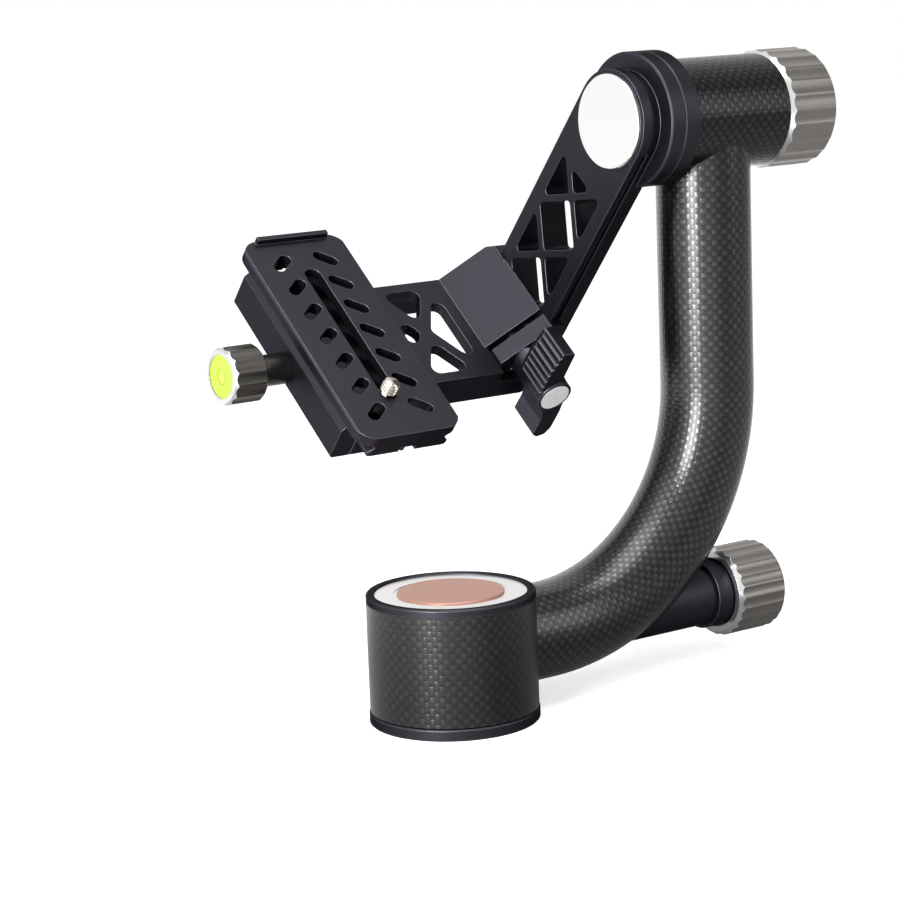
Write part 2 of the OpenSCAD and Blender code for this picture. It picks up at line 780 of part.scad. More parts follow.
// Pocket between two crossings, kept within half width h
function diamond_pocket(h, pitch, rib) =
    let (k = pitch / 2 - rib / sqrt(2))
    k < h ? [[0, -k], [k, 0], [0, k], [-k, 0]]
    : [[0, -k], [h, h - k], [h, k - h], [0, k], [-h, k - h], [-h, h - k]];

module leg_pockets() {
    round_r = 1.6;
    k = leg_rib / sqrt(2);
    last = leg_cross0 + 2 * leg_cross_pitch;
    head_side = 9;
    translate([0, leg_cross0])
        polygon(rounded([[0, -k], [-head_side + k, -head_side], [head_side - k, -head_side]], round_r));
    for (i = [0:2]) translate([0, leg_cross0 + i * leg_cross_pitch])
        for (side = [0, 1]) mirror([side, 0])
            polygon(rounded(side_pocket(leg_pocket_half, leg_rib), round_r));
    for (i = [0:1]) translate([0, leg_cross0 + (i + 0.5) * leg_cross_pitch])
        polygon(rounded(diamond_pocket(leg_pocket_half, leg_cross_pitch, leg_rib), round_r));
    translate([0, last]) polygon(rounded([[0, k], [leg_pocket_half - 1 - k, leg_pocket_half - 1],
        [k + 1 - leg_pocket_half, leg_pocket_half - 1]], round_r));
}

module leg_outline(half) {
    end_r = 4;
    circle(half);
    translate([-half, 0]) square([2 * half, leg_l - end_r]);
    translate([end_r - half, 0]) square([2 * (half - end_r), leg_l]);
    for (side = [-1, 1]) translate([side * (half - end_r), leg_l - end_r]) circle(end_r);
}

module swing_leg() {
    color("#1f1f22") hanging() difference() {
        union() {
            across_x(leg_front, groove_x1 + 0.2) leg_outline(leg_half);
            across_x(groove_x1, leg_back) leg_outline(leg_back_half);
            rotate([0, 90, 0]) translate([0, 0, flange_x0]) rotate_extrude() polygon([
                [0, 0], [collar_r - edge, 0], [collar_r, edge], [collar_r, flange_w],
                [0, flange_w]]);
        }
        for (side = [0, 1]) mirror([0, side, 0]) down_s(0, leg_l + 1) polygon([
            [groove_x0, -leg_half - 2], [groove_x0, -leg_half], [groove_x1, -groove_half],
            [groove_x2, -groove_half], [groove_x2, -leg_half - 2]]);
        across_x(leg_front - 1, leg_back + 1) leg_pockets();
        rod_x(leg_front - 1, leg_front + cap_t - cap_proud, cap_r);
        rod_x(leg_front, leg_front + cap_t - cap_proud + leg_bolt_head_h + 0.4, leg_bolt_head_r + 0.4);
        rod_x(leg_front, flange_x1 + 1, leg_bolt_r);
        at_dowels() rod_x(flange_x1 - dowel_reach, flange_x1 + 1, dowel_r);
        translate([0, 0, stop_s]) rod_x(leg_front - 1, leg_front + 6, stop_r);
    }
}

module leg_bolt() {
    seat = leg_front + cap_t - cap_proud + leg_bolt_head_h + 0.4;
    color("#55555a") hanging() difference() {
        union() {
            rod_x(seat - leg_bolt_head_h, seat, leg_bolt_head_r);
            rod_x(seat - 1, flange_x1 + leg_bolt_reach, leg_bolt_r);
        }
        translate([seat - leg_bolt_head_h - 1, 0, 0]) rotate([0, 90, 0]) cylinder(r = 3.4, h = 4.5, $fn = 6);
    }
}

module leg_dowels() {
    color("#b8b8b8") hanging() at_dowels()
        rod_x(flange_x1 - dowel_reach + 0.1, flange_x1 + dowel_reach - 0.1, dowel_r);
}

module leg_cap() {
    color("#e8eaec") hanging() rotate([0, 90, 0]) translate([0, 0, leg_front - cap_proud])
        rotate_extrude() polygon([[0, 0], [cap_r - 0.4, 0], [cap_r, 0.4], [cap_r, cap_t], [0, cap_t]]);
}

stop_r = 1.5;
stop_s = -leg_l + 2.2;
module leg_stop() {
    color("#77777a") hanging() translate([0, 0, stop_s]) {
        rod_x(leg_front - 1.8, leg_front, 2.4);
        rod_x(leg_front - 1, leg_front + 6, stop_r);
    }
}

// Platform bracket

module gusset_outline() {
    polygon([[gusset_x, deck_top], [gusset_x + deck_top - gusset_top, gusset_top],
        [block_x1, gusset_top], [block_x1, deck_bottom - heel], [block_x1 - heel, deck_bottom],
        [gusset_x, deck_bottom]]);
}

// Rounded pockets of the deck's truss in (x, v), ribs crossing at 60 degrees
module deck_pockets() {
    slope = 1 / tan(60);
    k = deck_rib / 2 / sin(60);
    round_r = 3;
    x0 = deck_x0 + 3;
    reach = pocket_half * slope;
    left = (deck_cross_x - x0 - k) / slope;
    right = (deck_pocket_x1 - deck_cross_x - k) / slope;
    for (side = [0, 1]) mirror([0, side]) polygon(rounded([
        [deck_cross_x, k / slope], [deck_cross_x + reach - k, pocket_half],
        [deck_cross_x - reach + k, pocket_half]], round_r));
    polygon(rounded([[deck_cross_x + k, 0], [deck_pocket_x1, right], [deck_pocket_x1, -right]], round_r));
    polygon(rounded([[deck_cross_x - k, 0], [x0, -left], [x0, left]], round_r));
}

module platform() {
    hook_v = deck_half - 0.3;
    color("#1f1f22") hanging() difference() {
        union() {
            along_v(-deck_half, deck_half) polygon([[deck_x0, deck_top], [block_x1, deck_top],
                [block_x1, deck_bottom - heel], [block_x1 - heel, deck_bottom], [deck_x0, deck_bottom]]);
            along_v(-deck_half, block_side) gusset_outline();
            along_v(-hook_v, -groove_half + 1) translate([block_x1 - 1, gusset_top])
                square([hook_x1 - block_x1 + 1, deck_bottom - gusset_top - 4]);
        }
        across_x(gusset_x, hook_x1 + 1) polygon([[-deck_half - 1, gusset_top - 1],
            [gusset_corner + 1 - deck_half, gusset_top - 1],
            [-deck_half - 1, gusset_top + gusset_corner + 1]]);
        down_s(web_t + deck_top, deck_bottom + 1) polygon(rounded([
            [deck_x0 + bolt_land, -hollow_half], [gusset_x + 5, -hollow_half],
            [gusset_x + 5, hollow_half], [deck_x0 + bolt_land, hollow_half]], 2));
        down_s(deck_top - 1, deck_bottom) deck_pockets();
        down_s(gusset_top - 1, deck_bottom + 1) dovetail_room(-1);
        down_s(gusset_top - 30, jaw_bottom + 0.3) translate([gusset_x + 1, block_side])
            square([30, deck_half]);
        rod_v(t_knob_x, t_knob_s, -12, deck_half, t_screw_r + run_play);
        for (p = jaw_pins) rod_v(p[0], p[1], -4, deck_half, jaw_pin_r);
        for (v = [-clamp_bolt_v, clamp_bolt_v])
            bore_x(v, clamp_screw_s, deck_x0 - 1, deck_x0 + bolt_land + 1, clamp_bolt_r);
    }
}

// Room that the leg's dovetail takes in the bracket, for the side v < 0 or v > 0
module dovetail_room(side) {
    p = slide_play;
    scale([1, side]) polygon([[block_x1, -1], [block_x1, leg_half + p],
        [groove_x0 + p, leg_half + p], [groove_x1 + p, groove_half + p], [hook_x1 + 9, groove_half + p],
        [hook_x1 + 9, -1]]);
}

module bracket_pins() {
    color("#b8b8b8") hanging() for (p = jaw_pins) rod_v(p[0], p[1], -3.9, jaw_side - 0.5, jaw_pin_r);
}

module bracket_jaw() {
    top_x = gusset_x + deck_top - gusset_top;
    color("#1f1f22") hanging() difference() {
        along_v(jaw_v0, jaw_side) polygon([[jaw_x0 + 1.3, deck_top - 1.3], [top_x, gusset_top],
            [hook_x1, gusset_top], [hook_x1, jaw_bottom], [jaw_x0 + 1.3, jaw_bottom]]);
        down_s(gusset_top - 1, deck_bottom) dovetail_room(1);
        rod_v(t_knob_x, t_knob_s, 0, deck_half, t_screw_r + run_play);
        for (p = jaw_pins) rod_v(p[0], p[1], 0, deck_half, jaw_pin_r + run_play);
    }
}

module t_screw() {
    color("#a5a5a5") hanging() rod_v(t_knob_x, t_knob_s, -8, t_knob_face - 4, t_screw_r);
}

// Two-wing lever: each wing keeps to its own side of the screw's axis
module t_outline() {
    l = t_wing_l;
    front = t_wing_out;
    back = t_wing_back;
    polygon(rounded([[-0.8 * back, -l], [-0.6, -l], [0, -l * 0.45], [front * 0.75, -l * 0.18],
        [front, l * 0.43], [front, l * 0.82], [front * 0.78, l * 0.96], [front * 0.32, l], [-0.2, l * 0.93],
        [0, l * 0.6], [-1.4, l * 0.38], [-0.75 * back, l * 0.18], [-back, -l * 0.13],
        [-back, -l * 0.57]], 1, 3));
}

module t_knob() {
    groove_count = 7;
    groove_pitch = 2.9;
    groove_r = 1.15;
    lean = 0.17;
    straight_s = -t_wing_l * 0.57;
    hub_foot = 2.2;
    wing_v0 = t_knob_face - t_wing_d;
    color("#1b1b1e") hanging() difference() {
        union() {
            along_v(wing_v0, t_knob_face - 0.6) translate([t_knob_x, t_knob_s]) t_outline();
            rod_v(t_knob_x, t_knob_s, jaw_side + hub_foot, t_knob_face, t_hub_r);
            rod_v(t_knob_x, t_knob_s, jaw_side + 0.1, jaw_side + hub_foot + 1, t_hub_r - 1.6);
        }
        for (i = [0:groove_count - 1]) let (s = 1.6 - t_wing_l + i * groove_pitch)
            rod_v(t_knob_x - t_wing_back - 0.5 + max(0, straight_s - s) * lean, t_knob_s + s,
                wing_v0 + 1.2, t_knob_face, groove_r);
        rod_v(t_knob_x, t_knob_s, t_knob_face - 1, t_knob_face + 1, t_cap_r);
        rod_v(t_knob_x, t_knob_s, 0, t_knob_face - 4, t_screw_r);
    }
}

module t_cap() {
    color("#dedad6") hanging() rod_v(t_knob_x, t_knob_s, t_knob_face - 1, t_knob_face + 0.2, t_cap_r);
}

// Clamp

// Room of the plate's dovetail in the clamp in (x, s), towards side -1 or 1
module clamp_room(side) {
    p = slide_play;
    translate([clamp_x, 0]) scale([side, 1]) polygon([[-1, clamp_top - 1], [waist_half + p, clamp_top - 1],
        [waist_half + p, waist_s], [dove_half + p, dove_edge_s], [dove_half + p, floor_s], [-1, floor_s]]);
}

module clamp_base() {
    color("#1b1b1e") hanging() difference() {
        along_v(-clamp_half_l, clamp_half_l) difference() {
            polygon([[clamp_x - clamp_split, floor_s], [clamp_x, floor_s], [clamp_x, clamp_top],
                [clamp_x + clamp_in - 3, clamp_top], [clamp_x + clamp_in, clamp_top + 3],
                [clamp_x + clamp_in, clamp_bottom - 1], [clamp_x + clamp_in - 1, clamp_bottom],
                [clamp_x - clamp_split, clamp_bottom]]);
            clamp_room(1);
        }
        bore_x(0, clamp_screw_s, clamp_x - clamp_split - 1,
            clamp_x + clamp_screw_reach + 1, clamp_screw_r + run_play);
        for (side = [-1, 1]) {
            bore_x(side * clamp_pin_v, clamp_screw_s, clamp_x - clamp_split - 1, clamp_x + 4, clamp_pin_r);
            bore_x(side * clamp_bolt_v, clamp_screw_s, clamp_x - clamp_split - 1,
                clamp_x + clamp_in + 1, clamp_bolt_r);
            bore_x(side * clamp_bolt_v, clamp_screw_s, clamp_x - clamp_split - 1,
                clamp_x + clamp_in - clamp_bolt_room, clamp_bolt_r + 1.7);
        }
    }
}

module clamp_bolts() {
    head_x = clamp_x + clamp_in - clamp_bolt_room;
    color("#55555a") hanging() for (side = [-1, 1]) difference() {
        union() {
            bore_x(side * clamp_bolt_v, clamp_screw_s, head_x - 4, head_x, clamp_bolt_r + 1.5);
            bore_x(side * clamp_bolt_v, clamp_screw_s, head_x - 1, deck_x0 + bolt_land - 1, clamp_bolt_r);
        }
        translate([head_x - 5, -side * clamp_bolt_v, -clamp_screw_s]) rotate([0, 90, 0])
            cylinder(r = 1.8, h = 3.2, $fn = 6);
    }
}

module clamp_pins() {
    color("#b8b8b8") hanging() for (side = [-1, 1])
        bore_x(side * clamp_pin_v, clamp_screw_s, clamp_x - clamp_out + 1, clamp_x + 4, clamp_pin_r);
}

module clamp_jaw() {
    split = clamp_x - clamp_split - 0.4;
    out = clamp_x - clamp_out;
    color("#1b1b1e") hanging() difference() {
        along_v(-clamp_half_l, clamp_half_l) difference() {
            polygon([[split, clamp_bottom], [out + 1, clamp_bottom], [out, clamp_bottom - 1],
                [out, clamp_top + 4], [out + 3, clamp_top], [clamp_x - 2, clamp_top],
                [clamp_x - 2, floor_s - eps], [split, floor_s - eps]]);
            clamp_room(-1);
        }
        bore_x(0, clamp_screw_s, out - 1, split + 1, clamp_screw_r + run_play);
        for (side = [-1, 1])
            bore_x(side * clamp_pin_v, clamp_screw_s, out + 0.9, split + 1, clamp_pin_r + run_play);
    }
}

module clamp_screw() {
    color("#a5a5a5") hanging()
        bore_x(0, clamp_screw_s, clamp_knob_x0 - 6, clamp_x + clamp_screw_reach, clamp_screw_r);
}

module clamp_knob() {
    x0 = clamp_knob_x0 - clamp_knob_l;
    color("#7c7771") hanging() translate([0, 0, -clamp_screw_s]) difference() {
        union() {
            translate([x0, 0, 0]) fluted_knob(clamp_knob_r, clamp_knob_l, clamp_flutes, bevel_w * 0.7);
            rod_x(clamp_knob_x0 - 1, clamp_x - clamp_out - 0.1, clamp_hub_r);
        }
        rod_x(x0 - 1, x0 + 5.2, level_r);
        rod_x(clamp_knob_x0 - 6, clamp_x, clamp_screw_r);
    }
}

module level_vial() {
    x0 = clamp_knob_x0 - clamp_knob_l;
    color("#d8f24a") hanging() translate([0, 0, -clamp_screw_s]) difference() {
        rod_x(x0 + 0.3, x0 + 5.2, level_r);
        rod_x(x0, x0 + 1.6, level_bubble_r + 0.05);
    }
}

module level_bubble() {
    x0 = clamp_knob_x0 - clamp_knob_l;
    color("#f4ffd0") hanging() translate([0, 0, -clamp_screw_s])
        rod_x(x0 + 0.4, x0 + 1.55, level_bubble_r);
}

// Plate

module plate_section() {
    flange_s = plate_top + plate_flange;
    half = [[0, plate_top], [plate_half - 0.6, plate_top], [plate_half, plate_top + 0.6],
        [plate_half, flange_s], [waist_half + 1, flange_s], [waist_half, flange_s + 0.8],
        [waist_half, waist_s], [dove_half, dove_edge_s], [dove_half, dove_bottom - 0.6],
        [dove_half - 0.6, dove_bottom], [0, dove_bottom]];
    translate([clamp_x, 0]) for (side = [0, 1]) mirror([side, 0]) polygon(half);
}

module plate_plan() {
    l = plate_l / 2;
    polygon(rounded([[-plate_half, -l], [plate_half, -l], [plate_half, l], [-plate_half, l]], 7, 8));
}

// Places of the side slots in (x, v) from the plate's middle
module at_side_slots() {
    for (i = [0:slot_count - 1], side = [0, 1]) mirror([side, 0])
        translate([slot_x, (i - (slot_count - 1) / 2) * slot_pitch]) rotate(slot_angle) children();
}

module plate() {
    lip_half = 15.3;
    lip_t = 1.8;
    lip_rise = 2.5;
    v0 = plate_shift - plate_l / 2;
    color("#1b1b1e") hanging() difference() {
        union() {
            intersection() {
                along_v(v0, v0 + plate_l) plate_section();
                down_s(plate_top - 1, dove_bottom + 1) translate([clamp_x, plate_shift]) plate_plan();
            }
            translate([clamp_x - lip_half, -v0 - lip_t, -plate_top - 0.5])
                cube([2 * lip_half, lip_t, lip_rise + 0.5]);
        }
        down_s(plate_top - 1, dove_bottom + 1) translate([clamp_x, plate_shift]) at_side_slots()
            slot2(slot_l, slot_w);
        down_s(plate_top - 1, dove_bottom + 1) centre_slot_outline(slot_half_w);
        down_s(screw_seat_s, dove_bottom + 1) centre_slot_outline(screw_head_r + 0.4);
        down_s(plate_top + plate_skin, dove_bottom + 1) translate([clamp_x, plate_shift])
            square([2 * plate_hollow_half, plate_l - 2 * plate_end_t], center = true);
        for (v = stop_places) {
            down_s(dove_bottom - stop_notch, dove_bottom + 1) translate([clamp_x, v])
                square([stop_notch_w, 2 * (stop_inset + 1)], center = true);
            down_s(dove_bottom - stop_depth, dove_bottom + 1) translate([clamp_x, v]) circle(stop_pin_r);
        }
    }
}

module centre_slot_outline(r) {
    l = centre_slot[1] - centre_slot[0];
    translate([clamp_x, (centre_slot[0] + centre_slot[1]) / 2]) rotate(90)
        slot2(l + 2 * (r - slot_half_w), 2 * r);
}

screw_seat_s = plate_top + 3.6;
stop_notch = 2;
stop_notch_w = 7;
stop_depth = 5;
stop_inset = 3.2;
stop_places = [plate_shift - plate_l / 2 + stop_inset, plate_shift + plate_l / 2 - stop_inset];

module plate_stops() {
    color("#9a9a98") hanging() for (v = stop_places)
        down_s(dove_bottom - stop_depth, dove_bottom + stop_notch) translate([clamp_x, v]) circle(stop_pin_r);
}

module screw_clip() {
    color("#55555a") hanging() down_s(screw_seat_s + 0.1, screw_seat_s + 0.1 + clip_t)
        translate([clamp_x, camera_screw_v]) difference() {
            circle(screw_head_r);
            circle(screw_shank_r + run_play);
        }
}

module camera_screw() {
    head_s = screw_seat_s + 0.2 + clip_t;
    color("#b7a795") hanging() difference() {
        union() {
            down_s(plate_top - camera_screw_h + 0.8, plate_top - screw_relief)
                translate([clamp_x, camera_screw_v]) circle(camera_screw_r);
            down_s(plate_top - 1, head_s + 1) translate([clamp_x, camera_screw_v]) circle(screw_shank_r);
            down_s(plate_top - camera_screw_h, plate_top - camera_screw_h + 1)
                translate([clamp_x, camera_screw_v]) circle(camera_screw_r - 0.5);
            down_s(head_s, head_s + screw_head_t) translate([clamp_x, camera_screw_v]) circle(screw_head_r);
        }
        down_s(head_s + 1.2, head_s + 5) translate([clamp_x, camera_screw_v])
            square([14, 1.4], center = true);
    }
}

foot();
thread_insert();
brake_drum();
pan_inner_races();
spindle_washer();
spindle_nut();
pan_balls();
pan_outer_races();
base_core();
base_skin();
base_lip();
top_disc();
disc_screws();
medallion();
arm_tube();
lock_tube();
lock_collar();
lock_nut();
pan_shoe();
lock_rod();
pan_knob();
housing_core();
housing_skin();
bearing_retainer();
tilt_outer_races();
tilt_balls();
tilt_inner_races();
tilt_shaft();
shaft_nut();
friction_washer();
pressure_disc();
end_plug();
tilt_stud();
tilt_knob();
swing_leg();
leg_bolt();
leg_dowels();
leg_cap();
leg_stop();
platform();
bracket_pins();
bracket_jaw();
t_screw();
t_knob();
t_cap();
clamp_base();
clamp_bolts();
clamp_pins();
clamp_jaw();
clamp_screw();
clamp_knob();
level_vial();
level_bubble();
plate();
plate_stops();
screw_clip();
camera_screw();
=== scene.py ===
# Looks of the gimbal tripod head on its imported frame. All lengths are in metres.
import json
import math

import bpy
from mathutils import Matrix, Vector


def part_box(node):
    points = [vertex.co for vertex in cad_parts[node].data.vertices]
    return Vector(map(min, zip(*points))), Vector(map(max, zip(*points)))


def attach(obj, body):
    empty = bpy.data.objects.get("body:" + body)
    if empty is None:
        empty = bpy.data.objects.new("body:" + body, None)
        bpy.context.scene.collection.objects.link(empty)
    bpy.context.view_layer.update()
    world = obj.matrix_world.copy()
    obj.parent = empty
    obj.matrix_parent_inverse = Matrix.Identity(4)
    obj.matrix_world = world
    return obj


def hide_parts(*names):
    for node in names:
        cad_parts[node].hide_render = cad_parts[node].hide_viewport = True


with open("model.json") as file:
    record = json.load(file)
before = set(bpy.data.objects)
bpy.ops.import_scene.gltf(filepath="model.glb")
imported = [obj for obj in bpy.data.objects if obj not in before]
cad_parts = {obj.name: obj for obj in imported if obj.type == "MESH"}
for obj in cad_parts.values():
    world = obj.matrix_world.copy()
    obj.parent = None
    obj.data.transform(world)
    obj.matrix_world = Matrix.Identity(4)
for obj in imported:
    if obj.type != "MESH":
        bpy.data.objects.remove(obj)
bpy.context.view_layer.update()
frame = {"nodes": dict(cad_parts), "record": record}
NODES = frame["nodes"]
MM = 0.001
FULL_TURN = 2 * math.pi

# The photograph's viewpoint
VIEW_AZIMUTH = math.radians(-35.52)
VIEW_ELEVATION = math.radians(10.49)
VIEW_ROLL = math.radians(-2.14)
VIEW_DISTANCE = 0.94872
AIM_RIGHT = 0.00164
AIM_UP = 0.09649
FOCAL_PIXELS = 2724.77
IMAGE_PIXELS = 900
SENSOR_MM = 36

# Two values that no piece's box gives: where the arm's bend starts, and how the leg hangs at rest
BEND_START_X = 0.0403
REST_TILT = math.radians(39.9)

# Driving places, taken from the frame's own pieces
BASE_LOW, BASE_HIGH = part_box("base_skin")
ARM_LOW, ARM_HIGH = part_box("arm_tube")
HOUSING_LOW, HOUSING_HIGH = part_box("housing_skin")
BASE_R = -BASE_LOW.x
ARM_R = ARM_HIGH.y
ARM_Z = ARM_LOW.z + ARM_R
ARM_X = ARM_HIGH.x - ARM_R
BEND_R = ARM_X - BEND_START_X
BEND_Z = ARM_Z + BEND_R
TILT_Z = (HOUSING_LOW.z + HOUSING_HIGH.z) / 2
HOUSING_R = (HOUSING_HIGH.z - HOUSING_LOW.z) / 2

# The studio as metal sees it: a black flag to the right of the camera, and a floor that is darker near
# the base. The flag's start and end are cosines of the angle from the camera's right-hand side.
RIGHT_X = math.cos(VIEW_AZIMUTH)
RIGHT_Y = math.sin(VIEW_AZIMUTH)
FLAG_START = 0.25
FLAG_END = 0.8
FLAG_LEVEL = 0.42
NEAR_FLOOR_R = 0.1
FAR_FLOOR_R = 0.38
NEAR_FLOOR_LEVEL = 0.4

# The world as all other rays see it, and the floor
WORLD_LEVEL = 0.5
FLOOR_SIZE = 12
FLOOR_TONE = 0.8
FLOOR_WHITE = 0.62
FLOOR_PATCH = 0.4
FLOOR_PATCH_TONE = 0.99
FLOOR_ROUGHNESS = 0.9

# Lamps: degrees left of the camera, degrees up, distance, width, height and watts
LAMP_AIM = Vector((0.05, 0.02, 0.12))
LAMPS = {
    "key_strip": (29, 11, 1.1, 0.3, 0.76, 18),
    "upper_left": (55, 51, 1.1, 0.5, 0.4, 1.0),
    "overhead": (-20, 78, 1.0, 0.9, 0.6, 7),
    "right_fill": (-75, 20, 1.3, 0.3, 0.8, 2),
}

# Colours
# The tows are one fibre, but those round the tube get ten times the colour of those along it: painted light
# and shade
SHADED_TOW_TINT = (0.004, 0.004, 0.0045, 1.0)
LIT_TOW_TINT = (0.040, 0.0335, 0.036, 1.0)
BLACK_COLOR = (0.0385, 0.0375, 0.0455)
# The T knob's black is lighter than the other black metal, as a painted highlight on its grooved face
T_KNOB_LIT_BLACK = (0.053, 0.0515, 0.063)
KNOB_COLOR = (0.235, 0.222, 0.207)
CLAMP_KNOB_COLOR = (0.086, 0.081, 0.075)
POLISHED_BEVEL = (0.66, 0.655, 0.66, 1.0)
MIRROR_LEVEL = 0.93
SILVER_COLOR = (0.86, 0.85, 0.84)
CAP_COLOR = (0.85, 0.84, 0.84)
STEEL_COLOR = (0.55, 0.55, 0.56)
BRASS_COLOR = (0.6, 0.44, 0.2)
NICKEL_COLOR = (0.62, 0.56, 0.5)
OXIDE_COLOR = (0.05, 0.05, 0.055)
LINING_COLOR = (0.2, 0.15, 0.11)
DARK_COPPER = (0.33, 0.15, 0.11, 1.0)
PALE_COPPER = (0.5, 0.27, 0.21, 1.0)
FLUID_COLOR = (0.40, 0.62, 0.05, 1.0)
BUBBLE_COLOR = (0.45, 0.67, 0.07, 1.0)
FLUID_DARKER = 0.85
RING_COLOR = (0.22, 0.36, 0.015)

# Carbon fibre: the width of a tow, and how far the weave and the lacquer over it stand up
TOW = 1.95 * MM
WEAVE_DEPTH = 0.09 * MM
LACQUER_DEPTH = 0.015 * MM
LACQUER_ROUGHNESS = 0.26
LACQUER_IOR = 1.5
ALONG_SWELL = 0.9
ACROSS_SWELL = 0.4
CROSSING_LEAST = 0.7
CROSSING_SPREAD = 0.5
# Colour left in the weave's valleys, as painted shade between the tows
VALLEY_SHADE_LEVEL = 0.3

# Metals: edges lightened as a painted highlight with a little wear, and fine lines along the flutes of the
# knobs
METALLIC = 0.95
EDGE_SAMPLES = 6
EDGE_SHARPNESS = 9.0
EDGE_HIGHLIGHT_GAIN = 3.2
LINE_W = 0.16 * MM
LINE_STRETCH = 0.02
BRUSHED_ROUGHNESS = 0.28
BRUSHED_SPREAD = 0.1
BEVEL_ROUGHNESS = 0.2
BEVEL_FACING = -0.3
CLAMP_KNOB_L = 14 * MM
HUB_DARKER = -0.15

# The camera screw: where it stands in the plate, its places down the leg from its tip, and its sizes
CAMERA_SCREW_X = 0.9 * MM
CAMERA_SCREW_V = 32 * MM
SCREW_TOP = 88.0 * MM
SCREW_SHANK_END = 92.7 * MM
SCREW_HEAD_START = 97.6 * MM
SCREW_HEAD_END = 100.2 * MM
SCREW_HEAD_R = 4.8 * MM
SCREW_HEAD_EDGE = 0.2 * MM
SCREW_SHANK_R = 2.6 * MM
THREAD_R = 3.175 * MM
THREAD_PITCH = 1.27 * MM
THREAD_CUT = 0.75 * MM
THREAD_FLANK = 2.4
THREAD_RUNOUT = 0.01 * MM
THREAD_ROWS = 70
THREAD_STEPS = 72
TIP_L = 1.1 * MM
TIP_DROP = 0.55 * MM

# The level's ring
RING_R = 2.9 * MM
RING_WIRE = 0.17 * MM
RING_SIDES = 8


class Nodes:
    """Short names for building a node tree."""

    def __init__(self, tree):
        self.tree = tree

    def node(self, kind, **settings):
        """A new node with its settings."""
        made = self.tree.nodes.new(kind)
        for key, value in settings.items():
            setattr(made, key, value)
        return made

    def feed(self, socket, value):
        """Links a socket to another, or sets it to a plain value."""
        if isinstance(value, bpy.types.NodeSocket):
            self.tree.links.new(value, socket)
        else:
            socket.default_value = value

    def filled(self, made, *values):
        """Feeds a node's first inputs in order, and gives its first output."""
        for socket, value in zip(made.inputs, values):
            self.feed(socket, value)
        return made.outputs[0]

    def math(self, operation, a, b=0.0, c=0.0, clamp=False):
        """Arithmetic on numbers."""
        return self.filled(self.node("ShaderNodeMath", operation=operation, use_clamp=clamp), a, b, c)

    def vector(self, x, y, z):
        """A vector of three numbers."""
        return self.filled(self.node("ShaderNodeCombineXYZ"), x, y, z)

    def split(self, vector):
        """The three numbers of a vector."""
        made = self.node("ShaderNodeSeparateXYZ")
        self.feed(made.inputs[0], vector)
        return made.outputs

    def ramp(self, value, start, end, low, high):
        """Goes smoothly from low to high while value goes from start to end."""
        made = self.node("ShaderNodeMapRange", interpolation_type="SMOOTHSTEP")
        return self.filled(made, value, start, end, low, high)

    def mix(self, factor, a, b):
        """Blends two colours or vectors."""
        made = self.node("ShaderNodeMix", data_type="RGBA")
        self.feed(made.inputs["Factor"], factor)
        self.feed(made.inputs[6], a)
        self.feed(made.inputs[7], b)
        return made.outputs[2]

    def mix_value(self, factor, a, b):
        """Blends two numbers."""
        made = self.node("ShaderNodeMix", data_type="FLOAT")
        self.feed(made.inputs["Factor"], factor)
        self.feed(made.inputs[2], a)
        self.feed(made.inputs[3], b)
        return made.outputs[0]

    def scale(self, color, factor):
        """A colour times a number."""
        made = self.node("ShaderNodeVectorMath", operation="SCALE")
        self.feed(made.inputs[0], color)
        self.feed(made.inputs["Scale"], factor)
        return made.outputs["Vector"]

    def reach(self, first, second):
        """How far a place lies from an axis, from its two distances across that axis."""
        squares = [self.math("MULTIPLY", value, value) for value in (first, second)]
        return self.math("SQRT", self.math("ADD", *squares))

    def seen_by(self, kind):
        """One for rays of a kind."""
        return self.node("ShaderNodeLightPath").outputs[f"Is {kind} Ray"]

    def seen_in_metal(self):
        """One for rays that leave a shiny or clear surface."""
        return self.math("MAXIMUM", self.seen_by("Glossy"), self.seen_by("Transmission"))

    def studio_shade(self, x, y):
        """How light the studio is in a direction, with the black flag in it."""
        towards = self.math("ADD", self.math("MULTIPLY", x, RIGHT_X), self.math("MULTIPLY", y, RIGHT_Y))
        return self.ramp(towards, FLAG_START, FLAG_END, 1.0, FLAG_LEVEL)


class Graph(Nodes):
    """One node-based material."""

    def __init__(self, name):
        self.material = bpy.data.materials.new(name)
        self.material.use_nodes = True
        super().__init__(self.material.node_tree)
        self.shader = self.tree.nodes["Principled BSDF"]
        self.place = self.node("ShaderNodeTexCoord").outputs["Object"]

    def noise(self, size, detail=2.0, place=None):
        """Noise whose features are about size metres across."""
        made = self.node("ShaderNodeTexNoise")
        self.feed(made.inputs["Vector"], place or self.place)
        made.inputs["Scale"].default_value = 1 / size
        made.inputs["Detail"].default_value = detail
        return made.outputs["Fac"]

    def around(self, middle, spread, size, detail=2.0):
        """Noise about a middle value."""
        return self.math("MULTIPLY_ADD", self.noise(size, detail), spread, middle - spread / 2)

    def surface(self, output):
        """A direction of the surface, such as its Normal."""
        return self.node("ShaderNodeNewGeometry").outputs[output]

    def bevel(self, radius):
        """The normal of a surface whose edges are rounded."""
        made = self.node("ShaderNodeBevel", samples=EDGE_SAMPLES)
        made.inputs["Radius"].default_value = radius
        return made.outputs[0]

    def bump(self, height, depth, normal=None):
        """Bump whose full height is depth metres."""
        made = self.node("ShaderNodeBump")
        made.inputs["Distance"].default_value = depth
        self.feed(made.inputs["Height"], height)
        if normal is not None:
            self.feed(made.inputs["Normal"], normal)
        return made.outputs[0]

    def set(self, **values):
        """Sets or links inputs of the shader: underscores stand for spaces."""
        for key, value in values.items():
            self.feed(self.shader.inputs[key.replace("_", " ").title().replace("Ior", "IOR")], value)
        return self.material


def grey(level):
    """A grey colour."""
    return (level, level, level, 1.0)


# Carbon fibre


